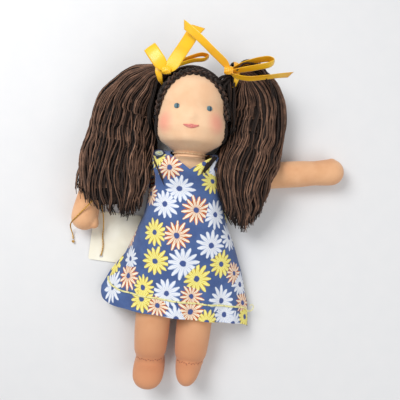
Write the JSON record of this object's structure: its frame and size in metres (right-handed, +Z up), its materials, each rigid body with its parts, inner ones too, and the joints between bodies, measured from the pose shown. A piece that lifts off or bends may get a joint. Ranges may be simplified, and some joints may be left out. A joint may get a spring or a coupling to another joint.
{
  "type": "rag doll",
  "caption": "Soft cloth doll lying on its back, with yarn ponytails tied in satin bows, a daisy-print dress, a shoulder button and a bare card tag on a wrist cord.",
  "frame": {"origin": "on the resting plane under the middle of the chest, where the back of the dress lies flat", "axes": "+Z up, out of the doll's front; +Y along the body towards the crown of the head; +X towards the doll's left hand"},
  "size_m": [0.2552, 0.3295, 0.0685],
  "materials": {
    "face_jersey": "fine cotton jersey, matt, with a blush on the cheeks",
    "body_jersey": "fine cotton jersey, matt",
    "wool_filling": "carded wool, matt",
    "hair_yarn": "fuzzy boucle yarn in mixed dark browns",
    "eye_thread": "stranded embroidery thread, slight sheen",
    "mouth_thread": "stranded embroidery thread, slight sheen",
    "limb_thread": "sewing thread, matt",
    "sewing_thread": "sewing thread, matt",
    "hem_thread": "soft cotton thread, matt",
    "printed_cotton": "plain-weave cotton printed with daisies, matt",
    "button": "dark rim round a paler dished middle",
    "satin_ribbon": "satin with a strong soft sheen",
    "gold_cord": "twisted metallic thread",
    "tag_paper": "bare uncoated card"
  },
  "bodies": {
    "torso": {"torso_skin": "body_jersey", "torso_stuffing": "wool_filling", "dress_front": "printed_cotton", "dress_back": "printed_cotton", "hem_stitch_front": "hem_thread", "hem_stitch_back": "hem_thread", "shoulder_button": "button", "button_thread": "hem_thread"},
    "head": {"head_skin": "face_jersey", "head_core": "wool_filling", "neck_tie": "sewing_thread", "eye_left": "eye_thread", "eye_right": "eye_thread", "mouth": "mouth_thread", "hair_cap": "hair_yarn", "hairline_braid": "hair_yarn", "hair_tie_left": "hair_yarn", "hair_tie_right": "hair_yarn", "ponytail_left": "hair_yarn", "ponytail_right": "hair_yarn", "ribbon_left_knot": "satin_ribbon", "ribbon_left_loop_outer": "satin_ribbon", "ribbon_left_tail_inner": "satin_ribbon", "ribbon_left_tail_outer": "satin_ribbon", "ribbon_right_knot": "satin_ribbon", "ribbon_right_loop_outer": "satin_ribbon", "ribbon_right_loop_inner": "satin_ribbon", "ribbon_right_tail_inner": "satin_ribbon"},
    "arm_left": {"arm_left_skin": "body_jersey", "arm_left_stuffing": "wool_filling"},
    "shoulder_left": {"shoulder_left_stitch": "sewing_thread"},
    "arm_right": {"arm_right_skin": "body_jersey", "arm_right_stuffing": "wool_filling", "wrist_cord": "gold_cord", "wrist_knot": "gold_cord", "tag_cord_tail": "gold_cord", "tail_knot": "gold_cord"},
    "shoulder_right": {"shoulder_right_stitch": "sewing_thread"},
    "leg_left": {"leg_left_skin": "body_jersey", "leg_left_stuffing": "wool_filling", "foot_left_skin": "body_jersey", "foot_left_stuffing": "wool_filling", "ankle_left_stitch": "limb_thread"},
    "leg_right": {"leg_right_skin": "body_jersey", "leg_right_stuffing": "wool_filling", "foot_right_skin": "body_jersey", "foot_right_stuffing": "wool_filling", "ankle_right_stitch": "limb_thread"},
    "hips": {"hip_seam_stitch": "sewing_thread"},
    "tag": {"tag_cord": "gold_cord", "tag_card": "tag_paper"}
  },
  "joints": [
    {"name": "neck_turn", "type": "hinge", "parent": "torso", "child": "head", "pos_m": [0.0013, 0.0374, 0.03], "axis": [0, 1, 0], "range_deg": [-30, 30], "deforming": ["ponytail_left", "ponytail_right"]},
    {"name": "shoulder_left_raise", "type": "hinge", "parent": "torso", "child": "shoulder_left", "pos_m": [0.0368, 0.022, 0.024], "axis": [0, 0, 1], "range_deg": [-60, 45], "deforming": ["dress_front", "dress_back", "ponytail_left"]},
    {"name": "arm_left_lift", "type": "hinge", "parent": "shoulder_left", "child": "arm_left", "pos_m": [0.0368, 0.022, 0.024], "axis": [0.134, -0.991, 0], "range_deg": [0, 90], "deforming": ["dress_front", "dress_back", "ponytail_left"]},
    {"name": "shoulder_right_raise", "type": "hinge", "parent": "torso", "child": "shoulder_right", "pos_m": [-0.0358, 0.022, 0.024], "axis": [0, 0, 1], "range_deg": [-50, 6], "deforming": ["dress_front", "dress_back", "ponytail_right"]},
    {"name": "arm_right_lift", "type": "hinge", "parent": "shoulder_right", "child": "arm_right", "pos_m": [-0.0358, 0.022, 0.024], "axis": [0, 1, 0], "range_deg": [0, 90], "deforming": ["dress_front", "dress_back", "ponytail_right"]},
    {"name": "hip_fold", "type": "hinge", "parent": "torso", "child": "hips", "pos_m": [0, -0.0622, 0.02], "axis": [-1, 0, 0], "range_deg": [0, 90], "deforming": ["dress_front", "dress_back", "hem_stitch_front", "hem_stitch_back"]},
    {"name": "leg_left_spread", "type": "hinge", "parent": "hips", "child": "leg_left", "pos_m": [0.0196, -0.076, 0.0185], "axis": [0, 0, 1], "range_deg": [-2, 18], "deforming": ["dress_front", "dress_back", "hem_stitch_front", "hem_stitch_back"]},
    {"name": "leg_right_spread", "type": "hinge", "parent": "hips", "child": "leg_right", "pos_m": [-0.0202, -0.076, 0.0185], "axis": [0, 0, 1], "range_deg": [-18, 2], "deforming": ["dress_front", "dress_back", "hem_stitch_front", "hem_stitch_back"]},
    {"name": "tag_swing", "type": "hinge", "parent": "arm_right", "child": "tag", "pos_m": [-0.0774, -0.003, 0.025], "axis": [0, 0, 1], "range_deg": [0, 8], "deforming": ["dress_front", "dress_back", "ponytail_right"]}
  ]
}
